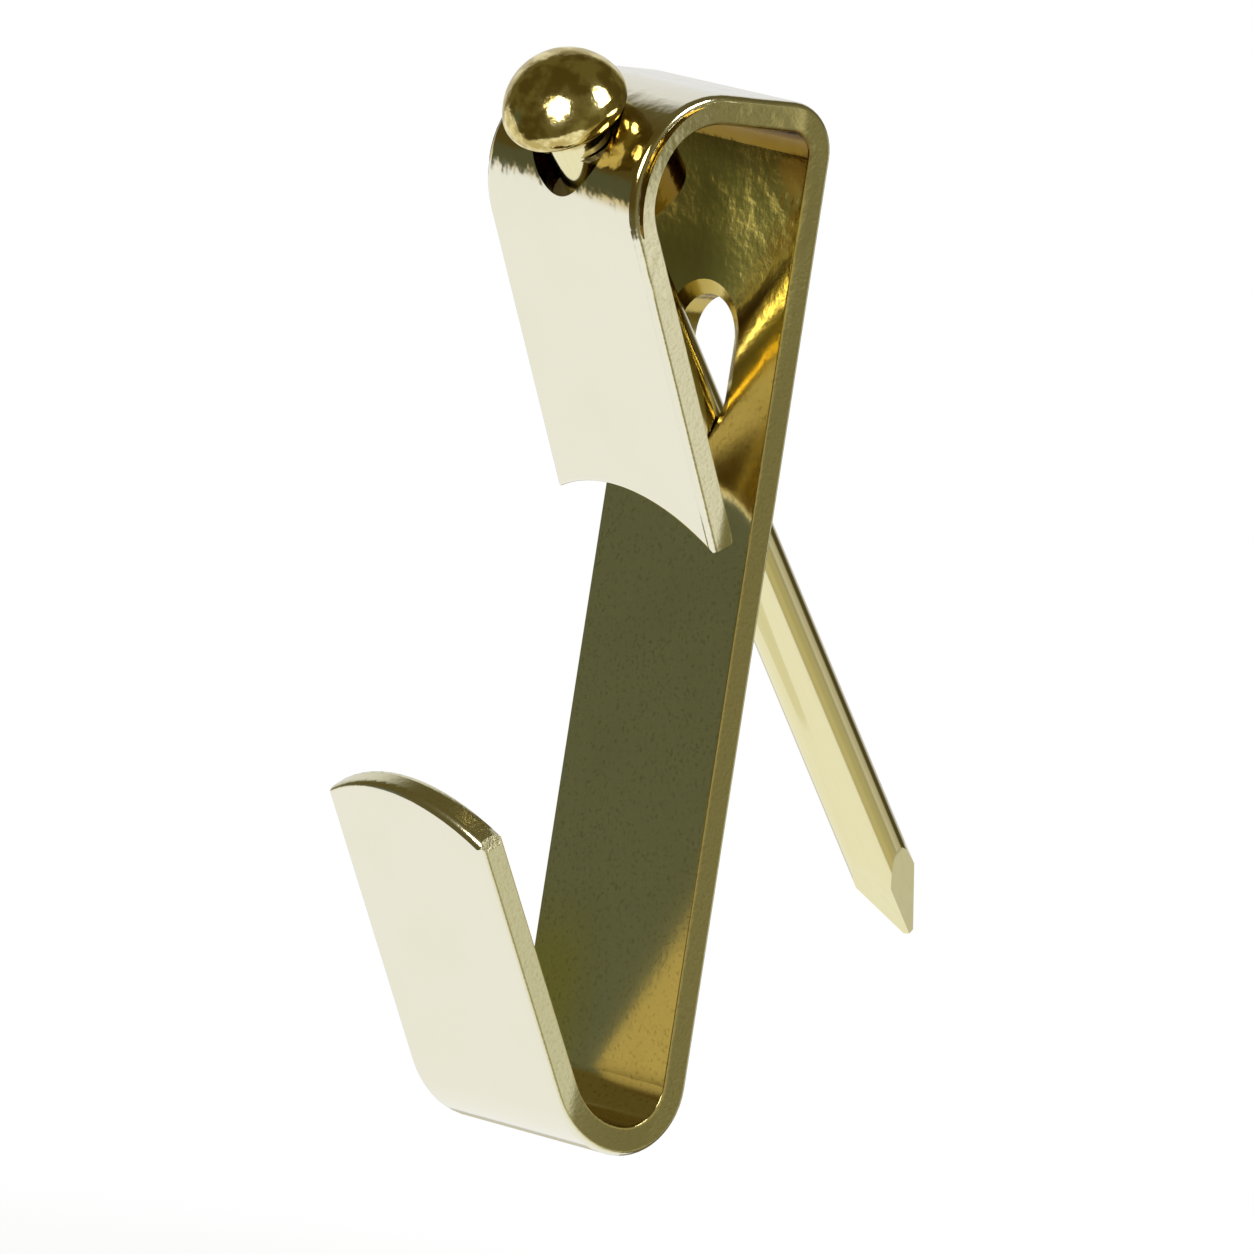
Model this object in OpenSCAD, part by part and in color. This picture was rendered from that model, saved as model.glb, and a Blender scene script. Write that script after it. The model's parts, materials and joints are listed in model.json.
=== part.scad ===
// Picture hook: one folded metal strip with a round-headed nail through its two guide holes.
// Millimetres, +Z up, hung on a wall. The origin is the middle of the flat back face, which lies in
// the plane Y = 0 and faces the wall at +Y. X runs along the width of the strip.

/* [Strip] */
// width of the strip
strip_width = 7.6; // [6:0.1:10]
// thickness of the sheet
strip_thickness = 1.0; // [0.7:0.02:1.2]
// rounding of all the edges of the strip
edge_radius = 0.28; // [0.05:0.01:0.3]
// height from the lower bend to the top of the fold
overall_height = 34.57; // [30:0.1:40]
// radius of the two curved ends, the same cut for both
end_arc_radius = 7.2; // [6:0.1:9]

/* [Lower hook] */
// inside radius of the lower bend on the side of the back plate
lower_back_radius = 1.36; // [1:0.05:2]
// inside radius of the lower bend on the side of the hook arm
lower_front_radius = 2.56; // [1.6:0.05:3.5]
// lean of the hook arm away from the back plate, in degrees from the vertical
hook_lean = 31.5; // [20:0.5:40]
// length of the straight hook arm up to the crown of its rounded end
hook_length = 10.8; // [8:0.1:14]
// sideways place of the crown of the rounded end
hook_crown_offset = -0.6; // [-1:0.05:1]
// depth of the small cut across each corner of the hook end
hook_corner_cut = 0.1; // [0.04:0.01:0.3]

/* [Upper fold] */
// inside radius of the bend at the back of the fold
back_bend_radius = 0.76; // [0.5:0.05:1.5]
// inside radius of the bend at the front of the fold
front_bend_radius = 2.41; // [1.5:0.05:3]
// length of the flat top between the two bends
top_length = 2.88; // [2:0.05:5]
// slope of the front flap towards the back plate, in degrees from the vertical
flap_slope = 28.1; // [20:0.5:35]
// spread of each edge of the front bend, pushed out by the hole
bend_spread = 0.2; // [0.05:0.01:0.4]
// length of the spread stretch of each edge
spread_length = 5.2; // [3:0.1:5.6]
// length of the front flap to its blunt lower tip
flap_length = 11.1; // [9:0.1:13]
// length of the front flap to the crown of its hollow end
flap_crown_length = 9.5; // [8:0.1:12]
// sideways place of the crown of the hollow end
flap_crown_offset = -1.0; // [-2:0.05:2]

/* [Nail] */
// diameter of the nail shank
nail_diameter = 2.06; // [1.6:0.01:2.4]
// length of the nail from under its head to its point
nail_length = 31.9; // [25:0.25:40]
// angle between the nail and the back plate, in degrees
nail_angle = 37.8; // [30:0.5:45]
// height where the nail axis meets the front face of the back plate
nail_height = 23.98; // [20:0.1:28]
// length of the four-sided point
point_length = 3.35; // [2:0.05:4.5]
// turn of the nail about its own axis, in degrees
nail_turn = 13; // [0:1:90]
// width of the blunt end of the point
point_blunt = 0.24; // [0.1:0.02:0.4]
// diameter of the nail head
head_diameter = 4.18; // [3.5:0.02:5]
// height of the nail head over its flat underside
head_height = 2.66; // [2:0.02:3]
// rounding of the edge of the nail head
head_edge_radius = 0.87; // [0.5:0.01:1]

/* [Guide holes] */
// space between the nail and the drawn collar in the front bend
collar_play = 0.78; // [0.4:0.02:1]
// space between the nail and the narrow lower end of the collar
collar_end_play = 0.2; // [0.1:0.02:0.4]
// depth of the wide mouth of the collar below the crest of the front bend
collar_mouth = 0.9; // [0.5:0.05:2]
// wall of the drawn collar in the front bend
collar_wall = 1.0; // [0.5:0.02:1.2]
// reach of the collar along the nail below the crest of the front bend
collar_reach = 3.05; // [2.5:0.05:4]
// space between the nail and the sloping bore through the strip
nail_clearance = 0.08; // [0.05:0.01:0.3]
// space beside the nail in the oval hole of the back plate
slot_side_play = 0.38; // [0.2:0.01:0.8]
// sideways place of the oval hole
slot_offset = -0.13; // [-0.3:0.01:0.3]
// rise of the upper end circle of the oval hole over the nail axis
slot_rise = 2.4; // [1.5:0.02:3]
// rise of the lower end circle of the oval hole over the nail axis
slot_foot = 0.7; // [0.3:0.02:1]
// width of the sloping rim around the oval hole
slot_rim = 0.46; // [0.1:0.02:0.6]
// depth of the sloping rim around the oval hole
slot_rim_depth = 0.24; // [0.1:0.02:0.4]
// space left under the head of the seated nail
seat_clearance = 0.03; // [0.02:0.01:0.1]

/* [Hidden] */
$fn = 96;
half_width = strip_width / 2;
// the run of the back plate between its two bends
plate_start = lower_back_radius + strip_thickness;
plate_end = overall_height - back_bend_radius - strip_thickness;
plate_middle = (plate_start + plate_end) / 2;
// the centre and the outside radius of the front bend, in the side plane
front_outer_radius = front_bend_radius + strip_thickness;
front_centre_y = -strip_thickness - back_bend_radius - top_length;
front_centre_z = overall_height - front_outer_radius;
// the nail and the holes that follow it
nail_radius = nail_diameter / 2;
collar_bore = nail_radius + collar_play;
collar_radius = collar_bore + collar_wall;
relief_radius = nail_radius + nail_clearance;
slot_radius = nail_radius + slot_side_play;
// distances along the nail from the front face of the back plate
bend_reach = (front_centre_z - nail_height) * cos(nail_angle)
           - (front_centre_y + strip_thickness) * sin(nail_angle);
crest_reach = bend_reach + front_outer_radius;
collar_end = crest_reach - collar_reach;
// the seated head touches the mouth of the collar with its rounded edge
head_radius = head_diameter / 2;
edge_centre = head_radius - head_edge_radius;
mouth_offset = collar_bore - edge_centre;
edge_sink = head_edge_radius - sqrt(pow(head_edge_radius, 2) - pow(mouth_offset, 2));
head_seat = crest_reach - edge_sink + seat_clearance;
// the dome runs into the rounded edge without a step
dome_radius = (pow(edge_centre, 2) + pow(head_height - head_edge_radius, 2) - pow(head_edge_radius, 2))
            / (2 * (head_height - 2 * head_edge_radius));
dome_centre = head_height - dome_radius;
// the ball that shapes each spread edge
spread_ball = pow(spread_length / 2, 2) / (2 * bend_spread) + bend_spread / 2;
// a small excess that lets the rounded rims of the ends cross the faces of the sheet
rim_excess = 0.01;
point_half_angle = atan((nail_radius - point_blunt / 2) / point_length);
// a length that reaches clear of the part
clear_length = overall_height;

// the flat cross-section of the strip: thickness along x, width along y
module strip_section() {
    translate([0, edge_radius - half_width])
        square([strip_thickness, strip_width - 2 * edge_radius]);
    translate([edge_radius, -half_width])
        square([strip_thickness - 2 * edge_radius, strip_width]);
    for (x = [edge_radius, strip_thickness - edge_radius], side = [-1, 1])
        translate([x, side * (half_width - edge_radius)])
            circle(r = edge_radius);
}

// turns the drawing plane into the side plane: x becomes Y, y becomes Z, z becomes X
module side_plane() {
    rotate([90, 0, 90])
        children();
}

// a straight run along y with its inner face at x = 0
module run(length) {
    rotate([-90, 0, 0])
        linear_extrude(height = length)
            strip_section();
}

// a bend to the left of the run, from the end of one run to the start of the next
module bend(inner_radius, angle) {
    translate([-inner_radius, 0, 0])
        rotate_extrude(angle = angle)
            translate([inner_radius, 0])
                strip_section();
}

// moves on past a bend, forwards with a positive angle and backwards with a negative one
module past_bend(inner_radius, angle) {
    translate([-inner_radius, 0, 0])
        rotate([0, 0, angle])
            translate([inner_radius, 0, 0])
                children();
}

// turns a drawing with width along x, length along -y and thickness along z into the sheet
module in_sheet() {
    rotate(180, [1, 0, 1])
        children();
}

// a round plate a little thicker than the sheet, with a rounded rim, on the axis z
module rimmed_disc(radius) {
    rim = edge_radius + rim_excess;
    translate([0, 0, -rim_excess])
        rotate_extrude() {
            square([radius - rim, strip_thickness + 2 * rim_excess]);
            translate([0, rim])
                square([radius, strip_thickness + 2 * (rim_excess - rim)]);
            for (z = [rim, strip_thickness + 2 * rim_excess - rim])
                translate([radius - rim, z])
                    circle(r = rim);
        }
}

// a round cutter through the sheet that leaves a rounded rim on both faces, on the axis z
module rimmed_cut(radius) {
    rim = edge_radius + rim_excess;
    rotate_extrude()
        difference() {
            translate([0, -strip_thickness])
                square([radius + rim, 3 * strip_thickness]);
            for (z = [edge_radius, strip_thickness - edge_radius])
                translate([radius + rim, z])
                    circle(r = rim);
            translate([radius, edge_radius])
                square([2 * rim, strip_thickness - 2 * edge_radius]);
        }
}

// the rounded end of the hook, with its crown at y = 0 and the rest of the arm below it
module hook_end() {
    in_sheet()
        translate([hook_crown_offset, -end_arc_radius, 0]) {
            rimmed_disc(end_arc_radius);
            translate([-strip_width, -2 * hook_length, -strip_thickness])
                cube([2 * strip_width, 2 * hook_length, 3 * strip_thickness]);
        }
}

// the sliver that is cut off one corner of the hook end
module corner_sliver(side) {
    reach = half_width - side * hook_crown_offset;
    fall = asin(reach / end_arc_radius);
    in_sheet()
        translate([side * half_width, end_arc_radius * (cos(fall) - 1), strip_thickness / 2])
            rotate([0, 0, side * (90 - fall) / 2])
                translate([side * (strip_thickness - hook_corner_cut), 0, 0])
                    cube([2 * strip_thickness, 4 * strip_thickness, 2 * strip_thickness], center = true);
}

// the straight hook arm, going up and forwards from the end of the lower bend
module hook_arm() {
    translate([0, -hook_length, 0])
        difference() {
            intersection() {
                run(hook_length);
                hook_end();
            }
            corner_sliver(-1);
            corner_sliver(1);
        }
}

// the front bend of a strip that is wide enough for its edges to be pushed out
module wide_bend() {
    translate([-front_bend_radius, 0, 0])
        rotate_extrude(angle = 90 + flap_slope)
            translate([front_bend_radius + edge_radius, -half_width - bend_spread])
                square([strip_thickness - 2 * edge_radius, strip_width + 2 * bend_spread]);
}

// the front flap with its hollow end
module front_flap() {
    difference() {
        run(flap_length);
        translate([0, flap_crown_length + end_arc_radius, flap_crown_offset])
            rotate([0, 90, 0])
                rimmed_cut(end_arc_radius);
    }
}

// moves on from the back plate to the start of the front bend, in the side plane
module at_front_bend() {
    side_plane()
        translate([front_centre_y, overall_height - strip_thickness, 0])
            rotate([0, 0, 90])
                children();
}

// the whole strip before its holes are made
module folded_sheet() {
    side_plane()
        translate([-strip_thickness, plate_start, 0]) {
            run(plate_end - plate_start);
            past_bend(lower_back_radius, -90) {
                bend(lower_back_radius, 90);
                past_bend(lower_front_radius, hook_lean - 90) {
                    bend(lower_front_radius, 90 - hook_lean);
                    hook_arm();
                }
            }
            translate([0, plate_end - plate_start, 0]) {
                bend(back_bend_radius, 90);
                past_bend(back_bend_radius, 90)
                    run(top_length);
            }
        }
    at_front_bend() {
        bend(front_bend_radius, 90 + flap_slope);
        past_bend(front_bend_radius, 90 + flap_slope)
            front_flap();
    }
}

// the ball whose surface is the spread edge on one side
module spread_side(side) {
    along_nail()
        translate([side * (half_width + bend_spread - spread_ball), 0, bend_reach + front_bend_radius])
            sphere(r = spread_ball);
}

// the swollen edges of the front bend beside the hole
module swollen_edges() {
    intersection() {
        at_front_bend()
            wide_bend();
        spread_side(-1);
        spread_side(1);
    }
}

// the frame of the nail: z along its axis to the head, from the front face of the back plate
module along_nail() {
    translate([0, -strip_thickness, nail_height])
        rotate([nail_angle, 0, 0])
            children();
}

// the space inside the outer face of the upper fold, where the collar may stand
module fold_space() {
    side_plane()
        linear_extrude(height = strip_width, center = true) {
            translate([front_centre_y, front_centre_z])
                circle(r = front_outer_radius);
            polygon([[front_centre_y, overall_height],
                     [front_centre_y, front_centre_z],
                     [front_centre_y - front_outer_radius * cos(flap_slope),
                      front_centre_z - front_outer_radius * sin(flap_slope)],
                     [front_centre_y - front_outer_radius * cos(flap_slope) + flap_length * sin(flap_slope),
                      front_centre_z - front_outer_radius * sin(flap_slope) - flap_length * cos(flap_slope)],
                     [-strip_thickness / 2, nail_height],
                     [-strip_thickness / 2, overall_height]]);
        }
}

// the lip of the front guide hole, drawn into the fold around the nail
module collar() {
    intersection() {
        along_nail()
            translate([0, 0, collar_end])
                cylinder(r = collar_radius, h = collar_reach + strip_thickness);
        fold_space();
    }
}

// the oval hole of the back plate, with its sloping front rim
module back_slot() {
    low = nail_height + slot_foot;
    high = nail_height + slot_rise;
    for (z = [low, high])
        translate([slot_offset, -strip_thickness, z])
            rotate([-90, 0, 0]) {
                cylinder(r = slot_radius, h = 2 * strip_thickness);
                translate([0, 0, -slot_rim_depth])
                    cylinder(r1 = slot_radius + 2 * slot_rim, r2 = slot_radius, h = 2 * slot_rim_depth);
            }
    translate([slot_offset, -strip_thickness, low])
        linear_extrude(height = high - low)
            polygon([[-slot_radius - 2 * slot_rim, -slot_rim_depth],
                     [slot_radius + 2 * slot_rim, -slot_rim_depth],
                     [slot_radius, slot_rim_depth],
                     [slot_radius, 2 * strip_thickness],
                     [-slot_radius, 2 * strip_thickness],
                     [-slot_radius, slot_rim_depth]]);
}

// everything that the nail needs to pass through the strip
module guide_holes() {
    along_nail() {
        translate([0, 0, crest_reach - collar_mouth])
            cylinder(r = collar_bore, h = clear_length);
        translate([0, 0, collar_end])
            cylinder(r1 = nail_radius + collar_end_play, r2 = collar_bore, h = collar_reach - collar_mouth);
        translate([0, 0, -clear_length / 4])
            cylinder(r = relief_radius, h = clear_length);
    }
    back_slot();
}

// the outline that turns into the head of the nail, from its underside at y = 0
module head_profile() {
    tangent = [edge_centre, head_edge_radius - dome_centre] * dome_radius / (dome_radius - head_edge_radius);
    translate([edge_centre, head_edge_radius])
        circle(r = head_edge_radius);
    square([edge_centre, head_edge_radius]);
    polygon([[0, head_edge_radius],
             [edge_centre, head_edge_radius],
             [0, dome_centre]]);
    translate([0, dome_centre])
        intersection() {
            circle(r = dome_radius);
            polygon([[0, 0], 2 * tangent, [0, 2 * dome_radius]]);
        }
}

// the nail on its own axis, with the underside of its head at z = 0
module nail_body() {
    rotate_extrude()
        head_profile();
    difference() {
        translate([0, 0, -nail_length])
            cylinder(r = nail_radius, h = nail_length);
        for (side = [0:3])
            rotate([0, 0, nail_turn + 90 * side])
                translate([point_blunt / 2, 0, -nail_length])
                    rotate([0, point_half_angle, 0])
                        translate([0, -nail_diameter, -nail_diameter])
                            cube([nail_diameter, 2 * nail_diameter, 3 * point_length]);
    }
}

// moves what is drawn from the lowest point of the hook to the middle of the back face
module from_back_middle() {
    translate([0, 0, -plate_middle])
        children();
}

module hook_strip() {
    color([0.86, 0.78, 0.50])
        from_back_middle()
            difference() {
                union() {
                    folded_sheet();
                    swollen_edges();
                    collar();
                }
                guide_holes();
            }
}

module nail() {
    color([0.84, 0.75, 0.45])
        from_back_middle()
            along_nail()
                translate([0, 0, head_seat])
                    nail_body();
}

hook_strip();
nail();
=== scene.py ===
"""Brass-plated picture hook: dresses the folded strip and its nail in a plain white studio."""

from __future__ import annotations

import json
import logging
import math
from dataclasses import dataclass
from enum import Enum

import bpy
from mathutils import Matrix, Vector

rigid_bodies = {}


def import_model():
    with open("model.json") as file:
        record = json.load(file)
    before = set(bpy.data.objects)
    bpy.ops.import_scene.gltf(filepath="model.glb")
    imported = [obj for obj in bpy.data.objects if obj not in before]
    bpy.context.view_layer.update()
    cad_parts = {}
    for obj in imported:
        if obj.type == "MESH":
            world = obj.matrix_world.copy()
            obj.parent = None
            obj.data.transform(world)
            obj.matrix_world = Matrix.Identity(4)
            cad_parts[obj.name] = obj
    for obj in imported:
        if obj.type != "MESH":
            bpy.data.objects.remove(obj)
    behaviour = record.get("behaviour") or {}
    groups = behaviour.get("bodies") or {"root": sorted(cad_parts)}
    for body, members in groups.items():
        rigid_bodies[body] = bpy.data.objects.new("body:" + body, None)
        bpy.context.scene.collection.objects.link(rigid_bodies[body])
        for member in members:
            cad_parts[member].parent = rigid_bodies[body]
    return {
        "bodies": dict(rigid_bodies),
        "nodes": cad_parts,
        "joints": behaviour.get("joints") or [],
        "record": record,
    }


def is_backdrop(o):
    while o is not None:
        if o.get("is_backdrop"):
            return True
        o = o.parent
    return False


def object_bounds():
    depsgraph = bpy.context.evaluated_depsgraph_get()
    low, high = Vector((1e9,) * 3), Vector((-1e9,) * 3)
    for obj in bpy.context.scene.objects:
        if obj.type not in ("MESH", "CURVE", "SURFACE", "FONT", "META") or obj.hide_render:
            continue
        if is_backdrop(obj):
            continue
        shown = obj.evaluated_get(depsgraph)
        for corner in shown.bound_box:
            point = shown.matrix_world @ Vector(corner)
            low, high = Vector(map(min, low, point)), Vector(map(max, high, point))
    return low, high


log = logging.getLogger("picture_hook")

Socket = bpy.types.NodeSocket
Colour = tuple[float, float, float]
Point = tuple[float, float, float]
Feed = Socket | float | Colour
Feeds = dict[str | int, Feed]

MM = 0.001
PHOTO_WIDTH = 1254
WHITE: Colour = (1.0, 1.0, 1.0)
PAPER: Colour = (0.97, 0.97, 0.97)
# Keeps depth and height, and drops the measure across the strip
UPRIGHT_PLANE: Point = (0.0, 1.0, 1.0)


class Wave(Enum):
    """Kinds of surface detail, with their feature size and height in millimetres."""

    ROLLING = (3.2, 0.0060)
    STRETCH = (0.80, 0.0300)
    STRUCK = (0.70, 0.0240)
    MOTTLE = (0.36, 0.0085)
    DRAWN = (0.18, 0.0002)
    GRAIN = (0.13, 0.0052)

    @property
    def frequency(self) -> float:
        """Noise scale per metre for this feature size."""
        return 1.0 / (self.value[0] * MM)

    @property
    def height(self) -> float:
        """Height of the detail in metres."""
        return self.value[1] * MM


@dataclass(frozen=True)
class Ramp:
    """A smooth change from 0 at its start to 1 at its end, which may be the lower of the two."""

    start: float
    end: float


@dataclass(frozen=True)
class NailLine:
    """The line that the nail follows: its tip and its lean from the upright."""

    tip: Point = (0.0, 11.74 * MM, -10.03 * MM)
    lean_deg: float = 37.8

    @property
    def lean(self) -> float:
        """The lean in radians."""
        return math.radians(self.lean_deg)

    @property
    def axis(self) -> Point:
        """Unit direction from the point to the head."""
        return (0.0, -math.sin(self.lean), math.cos(self.lean))

    @property
    def upper_side(self) -> Point:
        """Unit direction square to the nail, up and to the wall."""
        return (0.0, math.cos(self.lean), math.sin(self.lean))


class Graph:
    """A node tree with short ways to add and join nodes."""

    def __init__(self, tree: bpy.types.NodeTree) -> None:
        """Starts from an empty tree.

        Args:
            tree: The shader tree to fill.
        """
        self.tree = tree
        tree.nodes.clear()

    def node(self, kind: str, feeds: Feeds | None = None, **settings: object) -> bpy.types.Node:
        """Adds one node.

        Args:
            kind: The node's type.
            feeds: What goes into its inputs, sockets or plain values.
            **settings: The node's own properties.

        Returns:
            The new node.
        """
        made = self.tree.nodes.new(kind)
        for name, value in settings.items():
            setattr(made, name, value)
        for key, value in (feeds or {}).items():
            self.feed(made.inputs[key], value)
        return made

    def feed(self, socket: Socket, value: Feed) -> None:
        """Joins a socket to an input, or sets the input to a plain value.

        Args:
            socket: The input.
            value: A socket, a number or a colour.
        """
        if isinstance(value, Socket):
            self.tree.links.new(value, socket)
        elif isinstance(value, tuple) and socket.type == "RGBA":
            socket.default_value = (*value, 1.0)
        else:
            socket.default_value = value

    def maths(self, operation: str, *values: Feed, clamp: bool = False) -> Socket:
        """One step of arithmetic.

        Args:
            operation: The Math node's operation.
            *values: Its operands.
            clamp: Whether the result stays between 0 and 1.

        Returns:
            The result.
        """
        feeds = dict(enumerate(values))
        return self.node("ShaderNodeMath", feeds, operation=operation, use_clamp=clamp).outputs[0]

    def vector(self, operation: str, *values: Feed) -> Socket:
        """One step of vector arithmetic.

        Args:
            operation: The Vector Math node's operation.
            *values: Its operands.

        Returns:
            The resulting vector, or the number of a dot product or a length.
        """
        made = self.node("ShaderNodeVectorMath", dict(enumerate(values)), operation=operation)
        return made.outputs["Value" if operation in ("DOT_PRODUCT", "LENGTH") else "Vector"]

    def times(self, first: Feed, second: Feed, *more: Feed) -> Socket:
        """Multiplies numbers, such as masks and shares.

        Args:
            first: The first number.
            second: The second one.
            *more: Further ones.

        Returns:
            Their product.
        """
        made = self.maths("MULTIPLY", first, second)
        for value in more:
            made = self.maths("MULTIPLY", made, value)
        return made

    def without(self, mask: Feed) -> Socket:
        """The opposite of a mask."""
        return self.maths("SUBTRACT", 1.0, mask)

    def step(self, value: Feed, ramp: Ramp) -> Socket:
        """A smooth step.

        Args:
            value: The number to test.
            ramp: Where the step starts and ends.

        Returns:
            The step, from 0 to 1.
        """
        feeds = {"Value": value, "From Min": ramp.start, "From Max": ramp.end}
        return self.node("ShaderNodeMapRange", feeds, interpolation_type="SMOOTHSTEP").outputs[0]

    def spread(self, value: Feed, low: float, high: float) -> Socket:
        """Spreads a number from 0 to 1 over another range.

        Args:
            value: The number.
            low: The result at 0.
            high: The result at 1.

        Returns:
            The spread number.
        """
        feeds = {"Value": value, "To Min": low, "To Max": high}
        return self.node("ShaderNodeMapRange", feeds).outputs[0]

    def noise(self, place: Socket, wave: Wave, detail: float = 2.0) -> Socket:
        """Soft noise.

        Args:
            place: The coordinates.
            wave: The kind of detail.
            detail: How many finer layers it has.

        Returns:
            The noise, from 0 to 1.
        """
        feeds = {"Vector": place, "Scale": wave.frequency, "Detail": detail}
        return self.node("ShaderNodeTexNoise", feeds).outputs[0]

    def mix(self, kind: str, share: Feed, low: Feed, high: Feed) -> Socket:
        """Blends two numbers, vectors or colours.

        Args:
            kind: What is blended: FLOAT, VECTOR or RGBA.
            share: How much of the second one shows.
            low: The first one.
            high: The second one.

        Returns:
            The blend.
        """
        # After its two shares the node has two inputs for each kind, and it has one output for each
        made = self.node("ShaderNodeMix", data_type=kind)
        first = {"FLOAT": 2, "VECTOR": 4, "RGBA": 6}[kind]
        for index, value in ((0, share), (first, low), (first + 1, high)):
            self.feed(made.inputs[index], value)
        return made.outputs[first // 2 - 1]

    def tint(self, share: Feed, low: Feed, high: Feed) -> Socket:
        """Blends two colours, with share as the part of the second one."""
        return self.mix("RGBA", share, low, high)

    def lean(self, normal: Socket, way: Feed, share: Feed) -> Socket:
        """Leans a normal over.

        Args:
            normal: The normal.
            way: The direction that it leans in.
            share: How much of that direction is added.

        Returns:
            The unit normal that comes of it.
        """
        return self.vector("NORMALIZE", self.vector("MULTIPLY_ADD", way, share, normal))

    def bump(self, height: Feed, wave: Wave, under: Socket) -> Socket:
        """Raises the surface by a height field.

        Args:
            height: The height, from 0 to 1.
            wave: The kind of detail, which gives the real height of 1.
            under: The normal of the coarser layer below this one.

        Returns:
            The new normal.
        """
        feeds = {"Height": height, "Distance": wave.height, "Strength": 1.0, "Normal": under}
        return self.node("ShaderNodeBump", feeds).outputs[0]

    def metal(self, colour: Socket, rough: Socket, normal: Socket) -> None:
        """Ends the tree in a metal.

        Args:
            colour: Its colour.
            rough: Its roughness.
            normal: Its normal.
        """
        shader = self.node("ShaderNodeBsdfPrincipled", {
            "Base Color": colour, "Metallic": 1.0, "Roughness": rough, "Normal": normal})
        self.node("ShaderNodeOutputMaterial", {"Surface": shader.outputs[0]})


@dataclass(frozen=True)
class Spot:
    """The spot that is shaded: where it lies on the piece and how it faces."""

    graph: Graph
    place: Socket
    facing: Socket
    across: Socket
    depth: Socket
    height: Socket

    @classmethod
    def on(cls, graph: Graph) -> Spot:
        """Reads the object coordinates and the normal.

        Args:
            graph: The material's tree.

        Returns:
            The spot.
        """
        place = graph.node("ShaderNodeTexCoord").outputs["Object"]
        facing = graph.node("ShaderNodeNewGeometry").outputs["Normal"]
        parts = graph.node("ShaderNodeSeparateXYZ", {0: place}).outputs
        return cls(graph, place, facing, parts["X"], parts["Y"], parts["Z"])


@dataclass(frozen=True)
class StripMasks:
    """What the layers of the plating share: masks from 0 to 1, directions, and measures in metres."""

    rim: Socket
    long_edge: Socket
    edge: Socket
    heart: Socket
    leaning: Socket
    reach: Socket
    turn: Socket
    inside: Socket
    fold: Socket
    shaded: Socket
    bored: Socket
    bend_side: Socket


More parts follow.
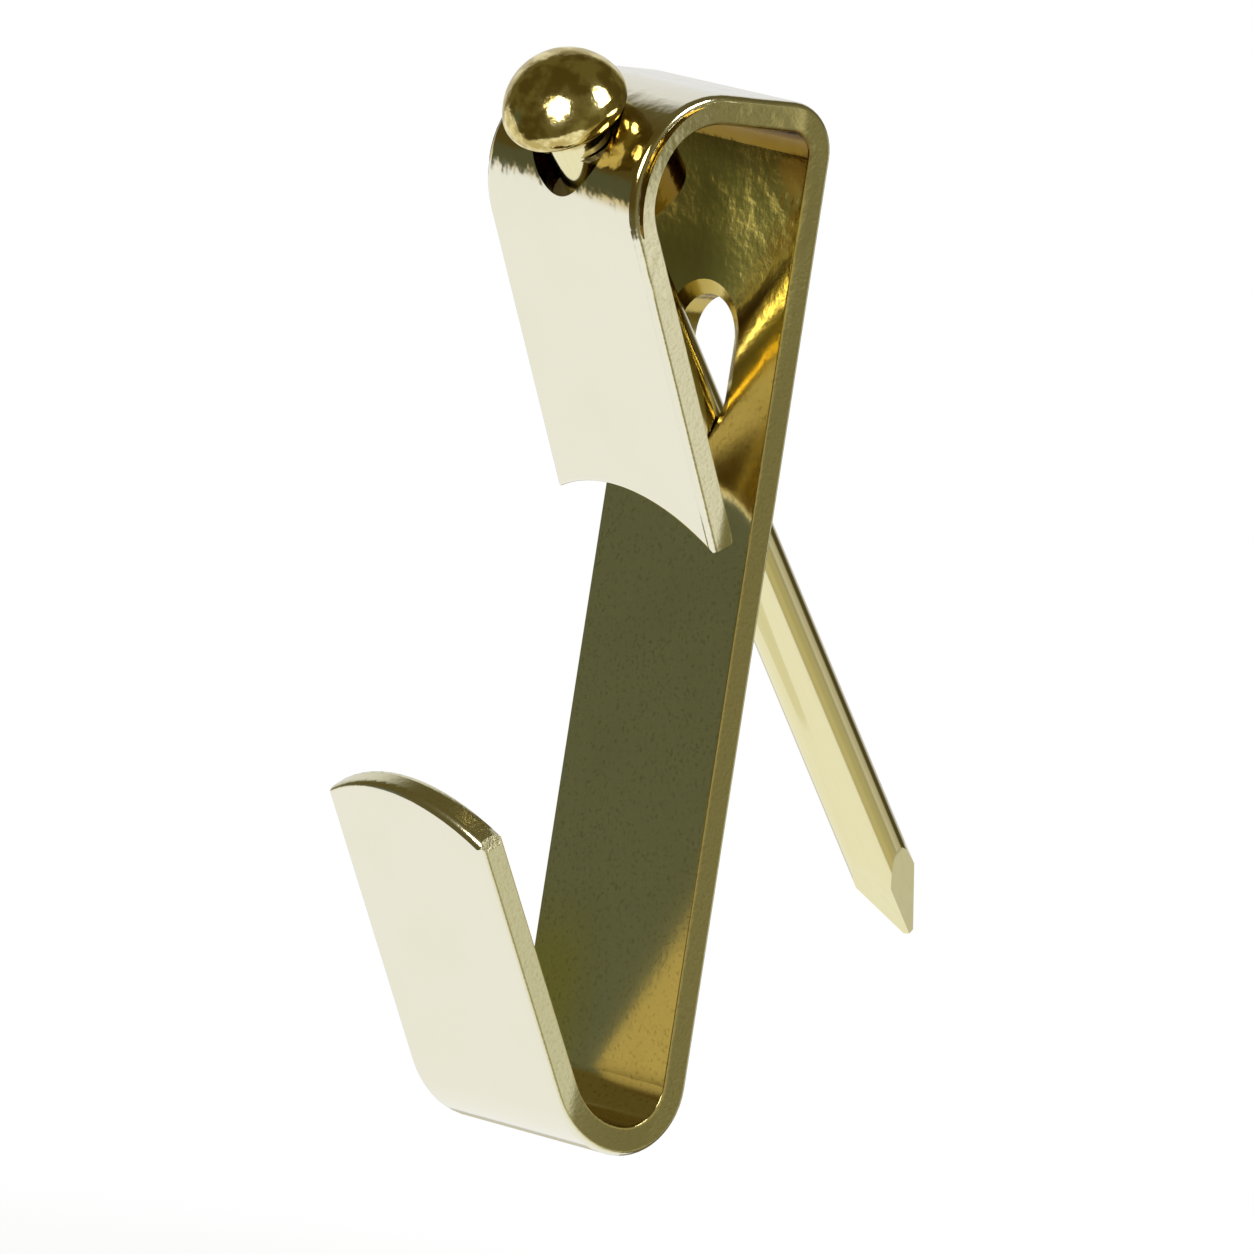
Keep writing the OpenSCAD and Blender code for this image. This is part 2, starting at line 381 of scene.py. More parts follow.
@dataclass(frozen=True)
class StripZones:
    """Where the edges, runs, folds and holes lie: places in metres, and turns as cosines."""

    # Cut edges
    edge_place: float = 3.4 * MM
    edge_turn: Ramp = Ramp(0.60, 0.95)
    hook_lean_deg: float = 31.5
    hook_end_depth: float = -8.5 * MM
    hook_end_turn: Ramp = Ramp(0.35, 0.80)
    # Sides of the sheet
    middle_height: float = 0.0
    fold_heart: Point = (0.0, -3.4 * MM, 8.5 * MM)
    hook_heart: Point = (0.0, -3.6 * MM, -13.0 * MM)
    inner_turn: Ramp = Ramp(-0.06, 0.06)
    plate_side: Point = (0.0, -1.0, 0.0)
    plate_blend: Ramp = Ramp(-1.9 * MM, -1.1 * MM)
    plate_depth: float = -1.5 * MM
    leaning_side: Point = (0.0, 0.867, 0.498)
    flap_low: float = -5.0 * MM
    flap_depth: float = -2.2 * MM
    arm_depth: float = -4.8 * MM
    forward: Ramp = Ramp(-0.3 * MM, 0.3 * MM)
    leaning_top: Ramp = Ramp(14.5 * MM, 12.5 * MM)
    # Upper fold
    fold_rise: Ramp = Ramp(6.5 * MM, 11.5 * MM)
    # Painted shade lies in the upper corner, on one side of the fold and in the front bend's collar
    corner_rise: Ramp = Ramp(12.8 * MM, 15.6 * MM)
    shaded_side: Ramp = Ramp(1.8 * MM, -1.0 * MM)
    shade: float = 0.65
    # Front bend and its bore
    bend_centre: Point = (0.0, -4.64 * MM, 13.575 * MM)
    bend_skin: float = 3.2 * MM
    bend_limit: Ramp = Ramp(4.4 * MM, 4.2 * MM)
    bend_top: Ramp = Ramp(16.6 * MM, 15.4 * MM)
    twist_place: float = 2.3 * MM
    nail: NailLine = NailLine()
    bore_wall: float = 1.45 * MM
    bore_low: float = 9.0 * MM

    def masks(self, spot: Spot) -> StripMasks:
        """Works out the masks that the layers of the plating share.

        Args:
            spot: The shaded spot.

        Returns:
            The masks.
        """
        graph = spot.graph
        turned = graph.node("ShaderNodeSeparateXYZ", {0: spot.facing}).outputs
        side = graph.maths("ABSOLUTE", turned["X"])
        rim = graph.maths("GREATER_THAN", graph.maths("ABSOLUTE", spot.across), self.edge_place)
        long_edge = graph.times(graph.step(side, self.edge_turn), rim)
        heart = self.heart(spot)
        reach = self.bend_reach(spot)
        collar = graph.maths("LESS_THAN", reach, self.bend_skin)
        looking_in = graph.step(graph.vector("DOT_PRODUCT", heart, spot.facing), self.inner_turn)
        fold = graph.step(spot.height, self.fold_rise)
        shade = graph.times(fold, graph.step(spot.across, self.shaded_side), self.shade)
        hollow = graph.maths("MAXIMUM", graph.step(spot.height, self.corner_rise), collar)
        return StripMasks(
            rim=rim,
            long_edge=long_edge,
            edge=graph.maths("MAXIMUM", long_edge, self.hook_end(spot)),
            heart=heart,
            leaning=self.leaning(spot),
            reach=reach,
            turn=graph.maths("SUBTRACT", spot.across, self.twist_place),
            inside=graph.maths("MAXIMUM", looking_in, collar),
            fold=fold,
            shaded=graph.maths("MAXIMUM", hollow, shade),
            bored=self.in_bore(spot),
            bend_side=graph.step(reach, self.bend_limit),
        )

    def heart(self, spot: Spot) -> Socket:
        """Finds the way to the middle of the nearest fold.

        Args:
            spot: The shaded spot.

        Returns:
            The unit direction to the middle of the upper fold or of the hook.
        """
        graph = spot.graph
        upper = graph.maths("GREATER_THAN", spot.height, self.middle_height)
        middle = graph.mix("VECTOR", upper, self.hook_heart, self.fold_heart)
        away = graph.vector("SUBTRACT", middle, spot.place)
        return graph.vector("NORMALIZE", graph.vector("MULTIPLY", away, UPRIGHT_PLANE))

    def hook_end(self, spot: Spot) -> Socket:
        """Finds the cut end of the hook arm.

        Args:
            spot: The shaded spot.

        Returns:
            1 on the end of the arm, 0 elsewhere.
        """
        graph = spot.graph
        lean = math.radians(self.hook_lean_deg)
        along = graph.vector("DOT_PRODUCT", spot.facing, (0.0, -math.sin(lean), math.cos(lean)))
        ahead = graph.maths("LESS_THAN", spot.depth, self.hook_end_depth)
        return graph.times(graph.step(along, self.hook_end_turn), ahead)

    def leaning(self, spot: Spot) -> Socket:
        """Finds the runs that lean out from the back plate.

        Args:
            spot: The shaded spot.

        Returns:
            1 on the flap and the hook arm, 0 elsewhere.
        """
        graph = spot.graph
        flap = graph.maths("GREATER_THAN", spot.height, self.flap_low)
        start = graph.mix("FLOAT", flap, self.arm_depth, self.flap_depth)
        ahead = graph.step(graph.maths("SUBTRACT", start, spot.depth), self.forward)
        return graph.times(ahead, graph.step(spot.height, self.leaning_top))

    def inwards(self, spot: Spot, masks: StripMasks) -> Socket:
        """Finds the side of the sheet that looks into the folds.

        Args:
            spot: The shaded spot.
            masks: The shared masks.

        Returns:
            The unit direction from the sheet to its inner side.
        """
        graph = spot.graph
        sides = graph.mix("VECTOR", masks.leaning, masks.heart, self.leaning_side)
        return graph.mix("VECTOR", graph.step(spot.depth, self.plate_blend), sides, self.plate_side)

    def on_plate(self, spot: Spot) -> Socket:
        """1 on the back plate, 0 in front of it."""
        return spot.graph.maths("GREATER_THAN", spot.depth, self.plate_depth)

    def bend_reach(self, spot: Spot) -> Socket:
        """Measures from the axis of the front bend.

        Args:
            spot: The shaded spot.

        Returns:
            The distance from that axis, in metres.
        """
        graph = spot.graph
        away = graph.vector("SUBTRACT", spot.place, self.bend_centre)
        return graph.vector("LENGTH", graph.vector("MULTIPLY", away, UPRIGHT_PLANE))

    def in_bore(self, spot: Spot) -> Socket:
        """Finds the wall of the slanting bore in the front bend.

        Args:
            spot: The shaded spot.

        Returns:
            1 close to the line of the nail, 0 elsewhere.
        """
        graph = spot.graph
        away = graph.vector("SUBTRACT", spot.place, self.nail.tip)
        arm = graph.vector("LENGTH", graph.vector("CROSS_PRODUCT", away, self.nail.axis))
        near = graph.maths("LESS_THAN", arm, self.bore_wall)
        return graph.times(near, graph.maths("GREATER_THAN", spot.height, self.bore_low))


@dataclass(frozen=True)
class StripTexture:
    """The uneven surface of the sheet: noises from 0 to 1."""

    rolling: Socket
    mottle: Socket
    grain: Socket


@dataclass(frozen=True)
class StripColours:
    """The colours of the strip's plating, linear, several of them holding painted light and shade."""

    # Pale cream outside: the brass with a painted bright reflection
    outer: Colour = (0.835, 0.81, 0.66)
    # Browner on the front bend: painted shade
    bend_shade: Colour = (0.60, 0.48, 0.20)
    # The lining colours are painted reflection: deeper golds in the folds and low on the plate, paler on
    # the back of the flap
    inner: Colour = (0.72, 0.61, 0.28)
    deep: Colour = (0.76, 0.61, 0.14)
    flap_back: Colour = (0.84, 0.79, 0.56)
    # Painted shade: the upper corner, the front bend's collar and one side of the fold
    painted_shade: Colour = (0.21, 0.125, 0.010)
    bore: Colour = (0.86, 0.76, 0.45)
    cut: Colour = (0.74, 0.70, 0.45)
    # Paler cut edge along the flap: a painted sheen
    cut_sheen: Colour = (0.90, 0.86, 0.62)
    stain: Colour = (0.46, 0.37, 0.13)


@dataclass(frozen=True)
class StripFinish:
    """Polished brass plating: pale outside with a painted sheen, deeper gold in the folds as painted
    reflection, painted shade in the hollows, duller on the cut edges.
    """

    name: str = "polished_strip_brass"
    slot: str = "strip_brass"
    zones: StripZones = StripZones()
    colours: StripColours = StripColours()
    grain_detail: float = 4.0

    # Where the colour changes
    foot_drop: Ramp = Ramp(-9.0 * MM, -12.5 * MM)
    foot_side: Ramp = Ramp(0.4 * MM, -2.4 * MM)
    # Where the painted shade on the front bend starts
    shaded_bend_skew: float = 0.09
    shaded_bend_low: Ramp = Ramp(12.8 * MM, 13.3 * MM)
    sheen_rise: Ramp = Ramp(-1.0 * MM, 1.0 * MM)
    smudge: Ramp = Ramp(0.45, 0.75)
    smudge_share: tuple[float, float] = (0.03, 0.14)
    pit: Ramp = Ramp(0.54, 0.68)
    pit_share: tuple[float, float] = (0.0, 0.60)
    cut_pit_share: float = 0.18

    # Polish
    outer_roughness: float = 0.07
    inner_roughness: float = 0.11
    grain_roughness: float = 0.05
    cut_roughness: float = 0.20
    bore_roughness: float = 0.55

    # How the normal leans, and how strong the dents are
    inner_half: Ramp = Ramp(0.02, 0.12)
    crisp_turn: Ramp = Ramp(0.55, 0.68)
    level_turn: Ramp = Ramp(0.90, 0.97)
    just_over_one: float = 1.0001
    cut_tilt: float = 0.16
    sag: Point = (-0.020, 0.0, -0.048)
    sag_side: Ramp = Ramp(-1.0 * MM, 1.5 * MM)
    twist_per_metre: Point = (0.0, 0.0, 13.5)
    twist_low: Ramp = Ramp(11.2 * MM, 12.4 * MM)
    mouth_side: Point = (0.0, -1.0, -0.15)
    mouth_reach: Ramp = Ramp(3.0 * MM, 3.3 * MM)
    stretch_reach: Ramp = Ramp(3.9 * MM, 3.5 * MM)
    dent_share: tuple[float, float] = (0.25, 1.0)
    grain_share: tuple[float, float] = (0.15, 1.0)

    def build(self) -> bpy.types.Material:
        """Builds the node material.

        Returns:
            The material.
        """
        material, graph = new_material(self.name)
        spot = Spot.on(graph)
        masks = self.zones.masks(spot)
        texture = StripTexture(
            rolling=graph.noise(spot.place, Wave.ROLLING),
            mottle=graph.noise(spot.place, Wave.MOTTLE),
            grain=graph.noise(spot.place, Wave.GRAIN, self.grain_detail),
        )
        pits = graph.step(texture.grain, self.pit)
        face = self.face_colour(spot, masks, texture, pits)
        colour = graph.tint(masks.edge, face, self.cut_colour(spot, masks, pits))
        graph.metal(colour, self.roughness(graph, masks, texture), self.normal(spot, masks, texture))
        return material

    def lining(self, spot: Spot, masks: StripMasks) -> Socket:
        """Colours the inside of the folds, with painted reflection: deeper gold in the fold and low on
        the plate, paler on the back of the flap, and painted shade in the hollows.

        Args:
            spot: The shaded spot.
            masks: The shared masks.

        Returns:
            The colour.
        """
        graph, colours = spot.graph, self.colours
        on_plate = self.zones.on_plate(spot)
        # Painted reflection: a deep gold patch low on the plate
        low = graph.step(spot.height, self.foot_drop)
        foot = graph.times(low, graph.step(spot.across, self.foot_side), on_plate)
        made = graph.tint(masks.fold, colours.inner, colours.deep)
        made = graph.tint(foot, made, colours.deep)
        made = graph.tint(graph.times(masks.fold, graph.without(on_plate)), made, colours.flap_back)
        # Painted shade in the hollows and on one side of the fold
        return graph.tint(masks.shaded, made, colours.painted_shade)

    def skin(self, spot: Spot, masks: StripMasks) -> Socket:
        """Colours the outer faces: pale with a painted sheen, and browner on the front bend as painted
        shade.

        Args:
            spot: The shaded spot.
            masks: The shared masks.

        Returns:
            The colour.
        """
        graph = spot.graph
        level = graph.maths("MULTIPLY_ADD", masks.turn, self.shaded_bend_skew, spot.height)
        low, top = graph.step(level, self.shaded_bend_low), graph.step(level, self.zones.bend_top)
        shaded_bend = graph.times(masks.bend_side, low, top)
        return graph.tint(shaded_bend, self.colours.outer, self.colours.bend_shade)

    def face_colour(self, spot: Spot, masks: StripMasks, texture: StripTexture, pits: Socket) -> Socket:
        """Colours the faces of the sheet: painted sheen outside, painted reflection and shade inside,
        with smudges and pits.

        Args:
            spot: The shaded spot.
            masks: The shared masks.
            texture: The uneven surface.
            pits: 1 in the pits.

        Returns:
            The colour.
        """
        graph, colours = spot.graph, self.colours
        made = graph.tint(masks.inside, self.skin(spot, masks), self.lining(spot, masks))
        made = graph.tint(masks.bored, made, colours.bore)
        smudged = graph.step(texture.rolling, self.smudge)
        share = graph.spread(masks.inside, *self.smudge_share)
        made = graph.tint(graph.times(smudged, share), made, colours.stain)
        bare = graph.times(masks.inside, graph.without(masks.shaded))
        return graph.tint(graph.times(pits, graph.spread(bare, *self.pit_share)), made, colours.stain)

    def cut_colour(self, spot: Spot, masks: StripMasks, pits: Socket) -> Socket:
        """Colours the cut edges, paler along the flap with a painted sheen.

        Args:
            spot: The shaded spot.
            masks: The shared masks.
            pits: 1 in the pits.

        Returns:
            The colour.
        """
        graph, colours = spot.graph, self.colours
        # Painted sheen on the flap's cut edges
        sheen_zone = graph.times(masks.leaning, graph.step(spot.height, self.sheen_rise))
        sheared = graph.tint(sheen_zone, colours.cut, colours.cut_sheen)
        return graph.tint(graph.times(pits, self.cut_pit_share), sheared, colours.stain)

    def roughness(self, graph: Graph, masks: StripMasks, texture: StripTexture) -> Socket:
        """Works out how rough the plating is.

        Args:
            graph: The material's tree.
            masks: The shared masks.
            texture: The uneven surface.

        Returns:
            The roughness.
        """
        polish = graph.mix("FLOAT", masks.inside, self.outer_roughness, self.inner_roughness)
        made = graph.maths("MULTIPLY_ADD", texture.grain, self.grain_roughness, polish)
        made = graph.mix("FLOAT", masks.edge, made, self.cut_roughness)
        return graph.mix("FLOAT", masks.bored, made, self.bore_roughness)

    def normal(self, spot: Spot, masks: StripMasks, texture: StripTexture) -> Socket:
        """Leans and roughens the surface normal, from the broad forms to the fine grain.

        Args:
            spot: The shaded spot.
            masks: The shared masks.
            texture: The uneven surface.

        Returns:
            The normal.
        """
        graph = spot.graph
        inwards = self.zones.inwards(spot, masks)
        inner = graph.step(graph.vector("DOT_PRODUCT", inwards, spot.facing), self.inner_half)
        in_fold = graph.times(masks.inside, masks.fold)
        low, top = graph.step(spot.height, self.twist_low), graph.step(spot.height, self.zones.bend_top)
        made = self.arris(spot, inner, masks.rim)
        made = graph.lean(made, inwards, graph.times(masks.long_edge, self.cut_tilt))
        made = graph.lean(made, self.sag, graph.times(in_fold, graph.step(spot.across, self.sag_side)))
        made = graph.lean(made, self.twist_per_metre, graph.times(masks.turn, masks.bend_side, low, top))
        mouth = graph.times(masks.bored, graph.step(masks.reach, self.mouth_reach))
        made = graph.lean(made, self.mouth_side, mouth)
        made = graph.bump(texture.rolling, Wave.ROLLING, made)
        stretch = graph.noise(spot.place, Wave.STRETCH)
        stretch = graph.times(stretch, graph.step(masks.reach, self.stretch_reach))
        made = graph.bump(stretch, Wave.STRETCH, made)
        dents = graph.times(texture.mottle, graph.spread(in_fold, *self.dent_share))
        made = graph.bump(dents, Wave.MOTTLE, made)
        grain = graph.times(texture.grain, graph.spread(masks.edge, *self.grain_share))
        return graph.bump(grain, Wave.GRAIN, made)

    def arris(self, spot: Spot, inner: Socket, rim: Socket) -> Socket:
        """Sharpens the edges on the inner side of the sheet, where the shears left them crisp.

        Args:
            spot: The shaded spot.
            inner: 1 on the inner half of an edge.
            rim: 1 close to the long edges.

        Returns:
            The sharpened normal.
        """
        graph = spot.graph
        parts = graph.node("ShaderNodeSeparateXYZ", {0: spot.facing}).outputs
        side, sign = graph.maths("ABSOLUTE", parts["X"]), graph.maths("SIGN", parts["X"])
        sharp = graph.step(side, self.crisp_turn)
        left = graph.maths("SQRT", graph.maths("SUBTRACT", 1.0, graph.times(sharp, sharp), clamp=True))
        # Just over one, so that the root is never zero on the flat of an edge
        rest = graph.maths("SQRT", graph.maths("SUBTRACT", self.just_over_one, graph.times(side, side)))
        scale = graph.maths("DIVIDE", left, rest)
        crisp = graph.node("ShaderNodeCombineXYZ", {
            "X": graph.times(sign, sharp),
            "Y": graph.times(parts["Y"], scale),
            "Z": graph.times(parts["Z"], scale)})
        level = graph.node("ShaderNodeCombineXYZ", {"X": sign})
        bent = graph.mix("VECTOR", graph.times(inner, rim), spot.facing, crisp.outputs[0])
        flat = graph.times(graph.step(side, self.level_turn), rim)
        return graph.mix("VECTOR", flat, bent, level.outputs[0])


@dataclass(frozen=True)
class NailFinish:
    """Bright plating on drawn wire, with faint marks along the shank, a struck head and painted shade on
    the shank's upper side.
    """

    name: str = "drawn_nail_brass"
    slot: str = "nail_brass"
    line: NailLine = NailLine()
    bright: Colour = (0.82, 0.765, 0.465)
    # Painted shade: darker on the upper side of the shank
    shaded: Colour = (0.52, 0.46, 0.25)
    deep: Colour = (0.66, 0.54, 0.22)
    head: Colour = (0.86, 0.75, 0.36)
    head_worn: Colour = (0.50, 0.39, 0.13)
    head_reach: Ramp = Ramp(16.4 * MM, 16.6 * MM)
    point_reach: Ramp = Ramp(-12.0 * MM, -11.8 * MM)
    shaded_turn: Ramp = Ramp(0.0, 0.30)
    wear: Ramp = Ramp(0.42, 0.62)
    detail: float = 3.0
    drawn_length: float = 20.0
    drawn_mark: Ramp = Ramp(0.40, 0.80)
    drawn_share: float = 0.12
    head_tilt: float = 0.20
    dent_share: tuple[float, float] = (0.04, 1.0)
    roughness: float = 0.08
    mottle_roughness: float = 0.08

    def build(self) -> bpy.types.Material:
        """Builds the node material.

        Returns:
            The material.
        """
        material, graph = new_material(self.name)
        spot = Spot.on(graph)
        reach = graph.vector("DOT_PRODUCT", spot.place, self.line.axis)
        head = graph.step(reach, self.head_reach)
        along = graph.node("ShaderNodeMapping", {
            "Vector": spot.place, "Rotation": (self.line.lean, 0.0, 0.0),
            "Scale": (1.0, 1.0, self.drawn_length)}, vector_type="TEXTURE")
        drawn = graph.noise(along.outputs[0], Wave.DRAWN, self.detail)
        mottle = graph.noise(spot.place, Wave.MOTTLE)
        struck = graph.noise(spot.place, Wave.STRUCK, self.detail)

        turned = graph.vector("DOT_PRODUCT", spot.facing, self.line.upper_side)
        # Painted shade on the upper side of the shank, away from the point
        upper = graph.times(graph.step(turned, self.shaded_turn), graph.step(reach, self.point_reach))
        marks = graph.times(graph.step(drawn, self.drawn_mark), self.drawn_share)
        shank = graph.tint(marks, graph.tint(upper, self.bright, self.shaded), self.deep)
        top = graph.tint(graph.step(struck, self.wear), self.head_worn, self.head)
        rough = graph.maths("MULTIPLY_ADD", mottle, self.mottle_roughness, self.roughness)

        normal = graph.lean(spot.facing, self.line.axis, graph.times(head, self.head_tilt))
        normal = graph.bump(graph.times(struck, head), Wave.STRUCK, normal)
        dents = graph.times(mottle, graph.spread(head, *self.dent_share))
        normal = graph.bump(dents, Wave.MOTTLE, normal)
        normal = graph.bump(drawn, Wave.DRAWN, normal)
        graph.metal(graph.tint(head, shank, top), rough, normal)
        return material


@dataclass
class FoldedStrip:
    """The folded strip with its hook, back plate, top and flap."""

    node: str = "hook_strip"
    finish: StripFinish = StripFinish()

    def dress(self, frame: dict) -> bpy.types.Object:
        """Gives the strip its plating.


        Returns:
            The dressed piece.
        """
        return plate(frame["nodes"][self.node], self.finish.build())


@dataclass
class HookNail:
    """The round-headed nail in the guide holes."""

    node: str = "nail"
    finish: NailFinish = NailFinish()

    def dress(self, frame: dict) -> bpy.types.Object:
        """Gives the nail its plating.


        Returns:
            The dressed piece.
        """
        return plate(frame["nodes"][self.node], self.finish.build())


def new_material(name: str) -> tuple[bpy.types.Material, Graph]:
    """Makes a material with an empty tree.

    Args:
        name: The material's name.

    Returns:
        The material and its tree.
    """
    material = bpy.data.materials.new(name)
    material.use_nodes = True
    return material, Graph(material.node_tree)


def plate(piece: bpy.types.Object, material: bpy.types.Material) -> bpy.types.Object:
    """Puts one material on a piece.

    Args:
        piece: The piece.
        material: Its finish.

    Returns:
        The same piece.
    """
    piece.data.materials.clear()
    piece.data.materials.append(material)
    return piece


def direction(azimuth: float, elevation: float) -> Vector:
    """A unit vector away from the hook.

    Args:
        azimuth: Degrees from the front, towards the right.
        elevation: Degrees above the horizon.

    Returns:
        The direction.
    """
    turn, rise = math.radians(azimuth), math.radians(elevation)
    return Vector((math.sin(turn) * math.cos(rise), -math.cos(turn) * math.cos(rise), math.sin(rise)))


@dataclass(frozen=True)
class Glow:
    """A soft patch of the studio walls, round a direction in degrees."""

    azimuth: float
    elevation: float
    inner_deg: float
    outer_deg: float
    colour: Colour

    @property
    def ramp(self) -> Ramp:
        """The patch's rim, in cosines of the angle from its middle."""
        return Ramp(math.cos(math.radians(self.outer_deg)), math.cos(math.radians(self.inner_deg)))


class Wall(Enum):
    """The patches of the walls that the metal mirrors, later ones over earlier ones."""

    RIGHT = Glow(105.0, -8.0, 35.0, 62.0, (0.19, 0.17, 0.075))
    LEFT_FRONT = Glow(-49.0, -4.0, 5.0, 10.0, (0.120, 0.144, 0.122))
    LEFT_BACK = Glow(-125.0, 12.0, 22.0, 42.0, (0.82, 0.82, 0.82))
    LEFT_BACK_SPOT = Glow(-131.0, -14.0, 3.0, 8.0, (0.60, 0.57, 0.42))
    LEFT_LOW = Glow(-78.0, -28.0, 28.0, 31.5, PAPER)
    LEFT_BACK_LOW = Glow(-112.0, -45.0, 23.0, 28.0, PAPER)
    BACK = Glow(157.0, -4.0, 12.0, 21.0, (0.80, 0.79, 0.72))
    RIGHT_BACK_SPOT = Glow(132.0, -4.0, 5.0, 9.0, (0.46, 0.42, 0.26))
    RIGHT_BACK_LOW_SPOT = Glow(124.0, -11.0, 4.0, 8.0, (0.48, 0.44, 0.26))
    RIGHT_BACK_LOW = Glow(116.0, -27.0, 10.0, 18.0, (0.58, 0.52, 0.30))
    RIGHT_LOW = Glow(80.0, -58.0, 31.0, 34.0, PAPER)


@dataclass(frozen=True)
class Lamp:
    """A round soft lamp: its direction in degrees, its distance and width in metres, and its watts."""

    azimuth: float
    elevation: float
    distance: float
    width: float
    watts: float
    mirrored: bool


class Softbox(Enum):
    """The lamps. Those that the metal mirrors light nothing else."""

    FRONT = Lamp(20.6, 24.0, 0.50, 0.28, 1.9, mirrored=True)
    SIDE = Lamp(103.0, 47.0, 0.50, 0.24, 1.4, mirrored=True)
    OVERHEAD = Lamp(0.0, 88.0, 0.60, 0.50, 3.0, mirrored=False)


@dataclass
class Studio:
    """A plain white studio: floor, walls and soft lamps."""

    floor_drop: float = 8 * MM
    floor_half: float = 0.6
    floor_colour: Colour = (0.9, 0.9, 0.9)
    floor_glow: tuple[float, float] = (0.85, 1.0)
    floor_fade: Ramp = Ramp(0.03, 0.05)
    room: Colour = (0.120, 0.100, 0.036)
    ground: Colour = PAPER
    ground_deg: tuple[float, float] = (-46.0, -38.0)

    def world(self) -> None:
        """Makes the walls: white to the camera, darker in front as the metal mirrors them."""
        made = bpy.data.worlds.new("studio_walls")
        bpy.context.scene.world = made
        made.use_nodes = True
        made.cycles.sampling_method = "NONE"
        graph = Graph(made.node_tree)
        ray = graph.node("ShaderNodeTexCoord").outputs["Generated"]
        walls: Feed = self.room
        for wall in Wall:
            glow = wall.value
            near = graph.vector("DOT_PRODUCT", ray, tuple(direction(glow.azimuth, glow.elevation)))
            walls = graph.tint(graph.step(near, glow.ramp), walls, glow.colour)
        horizon = Ramp(*(math.sin(math.radians(deg)) for deg in self.ground_deg))
        height = graph.node("ShaderNodeSeparateXYZ", {0: ray}).outputs["Z"]
        walls = graph.tint(graph.step(height, horizon), self.ground, walls)
        path = graph.node("ShaderNodeLightPath")
        shown = graph.tint(path.outputs["Is Camera Ray"], walls, WHITE)
        shader = graph.node("ShaderNodeBackground", {"Color": shown, "Strength": 1.0})
        graph.node("ShaderNodeOutputWorld", {"Surface": shader.outputs[0]})

    def floor(self, low: Vector) -> bpy.types.Object:
        """Lays the floor under the hook.

        Args:
            low: The lowest corner of the part.

        Returns:
            The floor.
        """
        level = low.z - self.floor_drop
        half = self.floor_half
        corners = [(-half, -half, level), (half, -half, level), (half, half, level), (-half, half, level)]
        mesh = bpy.data.meshes.new("floor")
        mesh.from_pydata(corners, [], [(0, 1, 2, 3)])
        made = bpy.data.objects.new("floor", mesh)
        bpy.context.scene.collection.objects.link(made)
        mesh.materials.append(self.floor_paint())
        made.visible_glossy = False
        made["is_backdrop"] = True
        return made

    def floor_paint(self) -> bpy.types.Material:
        """White paint that keeps a soft shadow.

        Returns:
            The material.
        """
        material, graph = new_material("floor_white")
        path = graph.node("ShaderNodeLightPath")
        seen = graph.maths("MAXIMUM", path.outputs["Is Camera Ray"], path.outputs["Is Glossy Ray"])
        seen = graph.maths("MAXIMUM", seen, path.outputs["Is Transmission Ray"])
        matt = graph.node("ShaderNodeBsdfDiffuse", {"Color": self.floor_colour})
        white = graph.node("ShaderNodeEmission", {"Color": WHITE, "Strength": 1.0})
        away = graph.vector("LENGTH", graph.node("ShaderNodeTexCoord").outputs["Object"])
        share = graph.times(seen, graph.spread(graph.step(away, self.floor_fade), *self.floor_glow))
        paint = graph.node("ShaderNodeMixShader", {0: share, 1: matt.outputs[0], 2: white.outputs[0]})
        graph.node("ShaderNodeOutputMaterial", {"Surface": paint.outputs[0]})
        return material

    def lamps(self) -> None:
        """Hangs the soft lamps round the hook."""
        for box in Softbox:
            light = bpy.data.lights.new(box.name.lower(), "AREA")
            light.shape = "DISK"
            light.size = box.value.width
            light.energy = box.value.watts
            made = bpy.data.objects.new(light.name, light)
            made.visible_camera = False
            made.visible_glossy = box.value.mirrored
            made.visible_diffuse = not box.value.mirrored
            towards = direction(box.value.azimuth, box.value.elevation)
            made.location = towards * box.value.distance
            made.rotation_mode = "QUATERNION"
            made.rotation_quaternion = towards.to_track_quat("Z", "Y")
            bpy.context.scene.collection.objects.link(made)


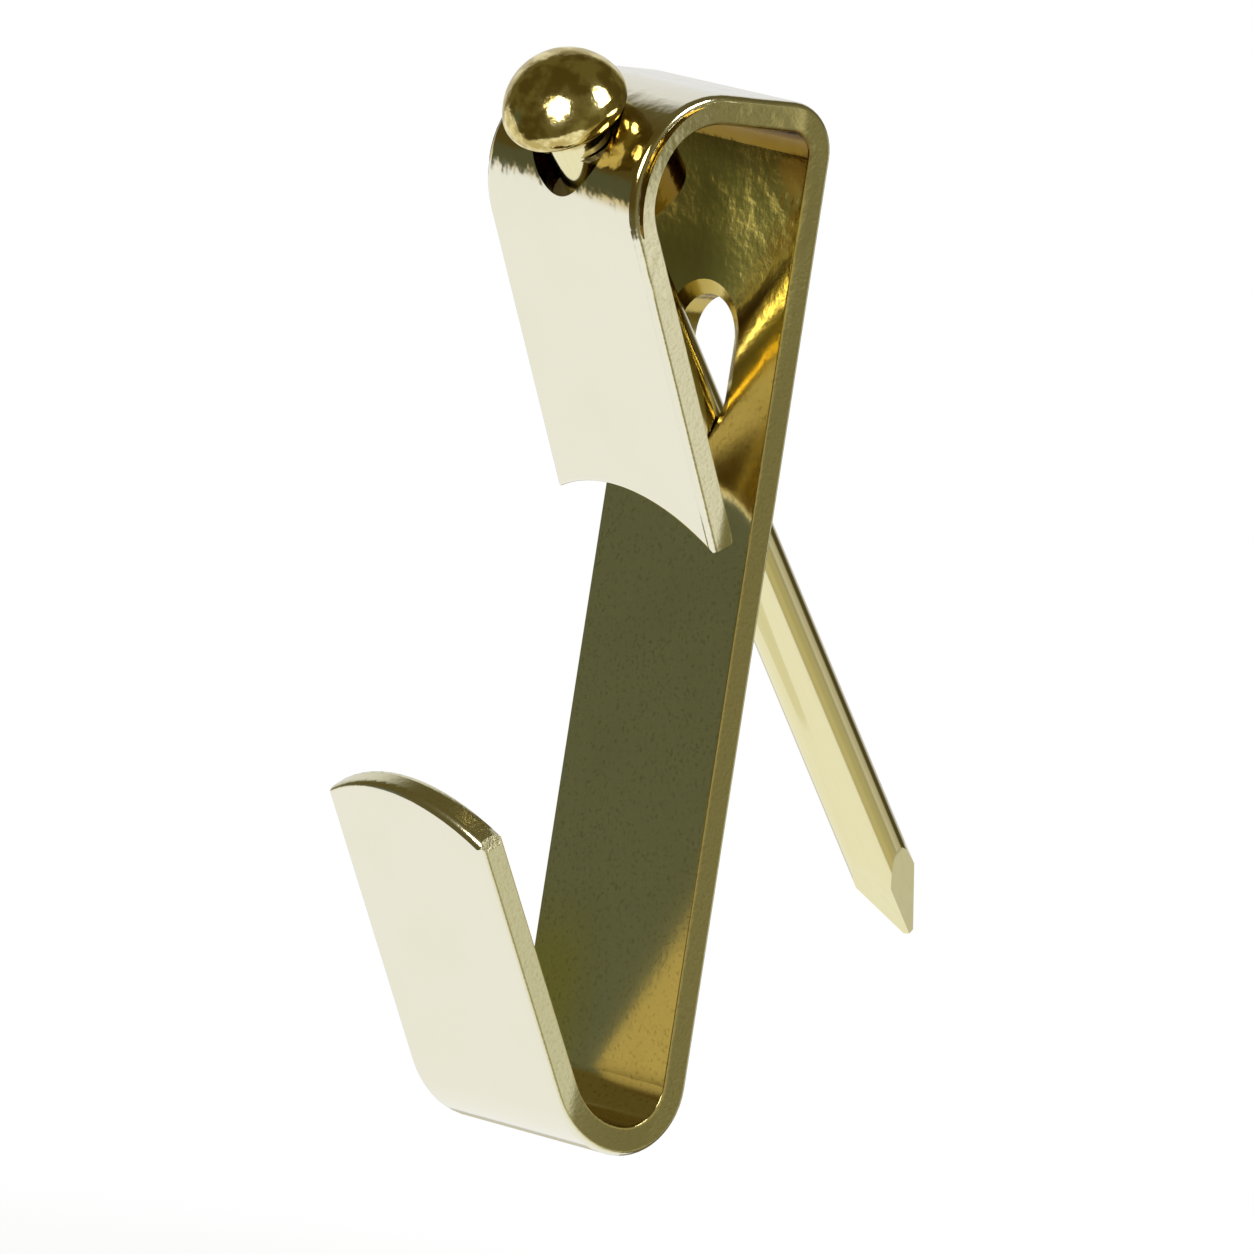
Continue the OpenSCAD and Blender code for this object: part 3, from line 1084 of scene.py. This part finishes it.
@dataclass
class PhotoCamera:
    """The camera at the photograph's viewing angle."""

    azimuth: float = 49.027
    elevation: float = 4.615
    roll: float = 8.846
    distance: float = 839 * MM
    pixels_per_mm: float = 30.855
    aim: Point = (0.0, 0.0, -0.119 * MM)
    aim_pixel: tuple[float, float] = (684.23, 610.20)
    sensor_width: float = 36.0
    clip_ratio: float = 10.0

    def place(self) -> bpy.types.Object:
        """Makes the camera and sets it in the scene.

        Returns:
            The camera.
        """
        away = direction(self.azimuth, self.elevation)
        bearing = math.radians(self.azimuth)
        level = Vector((math.cos(bearing), math.sin(bearing), 0.0))
        right = Matrix.Rotation(math.radians(self.roll), 3, away) @ level
        up = away.cross(right)
        pixel = MM / self.pixels_per_mm
        sideways, upwards = ((PHOTO_WIDTH / 2 - place) * pixel for place in self.aim_pixel)
        aim = Vector(self.aim)
        eye = aim + away * self.distance
        backwards = (eye - (aim + right * sideways - up * upwards)).normalized()
        right = up.cross(backwards).normalized()
        up = backwards.cross(right)
        lens = bpy.data.cameras.new("photo_camera")
        lens.sensor_width = self.sensor_width
        lens.lens = self.sensor_width * self.distance / (PHOTO_WIDTH * pixel)
        lens.clip_start = self.distance / self.clip_ratio
        lens.clip_end = self.distance * self.clip_ratio
        made = bpy.data.objects.new("photo_camera", lens)
        turn = Matrix((right, up, backwards)).transposed().to_4x4()
        made.matrix_world = Matrix.Translation(eye) @ turn
        bpy.context.scene.collection.objects.link(made)
        bpy.context.scene.camera = made
        return made


def main() -> None:
    """Loads the part, dresses its pieces and sets up the studio."""
    logging.basicConfig(level=logging.INFO, format="%(name)s: %(message)s")
    for extra in list(bpy.data.objects):
        bpy.data.objects.remove(extra)
    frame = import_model()
    solid_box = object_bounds()
    bpy.context.scene.view_settings.view_transform = "Standard"
    PhotoCamera().place()
    for part in (FoldedStrip(), HookNail()):
        log.info("dressed %s", part.dress(frame).name)
    studio = Studio()
    studio.world()
    studio.lamps()
    log.info("laid %s", studio.floor(solid_box[0]).name)


if __name__ == "__main__":
    main()
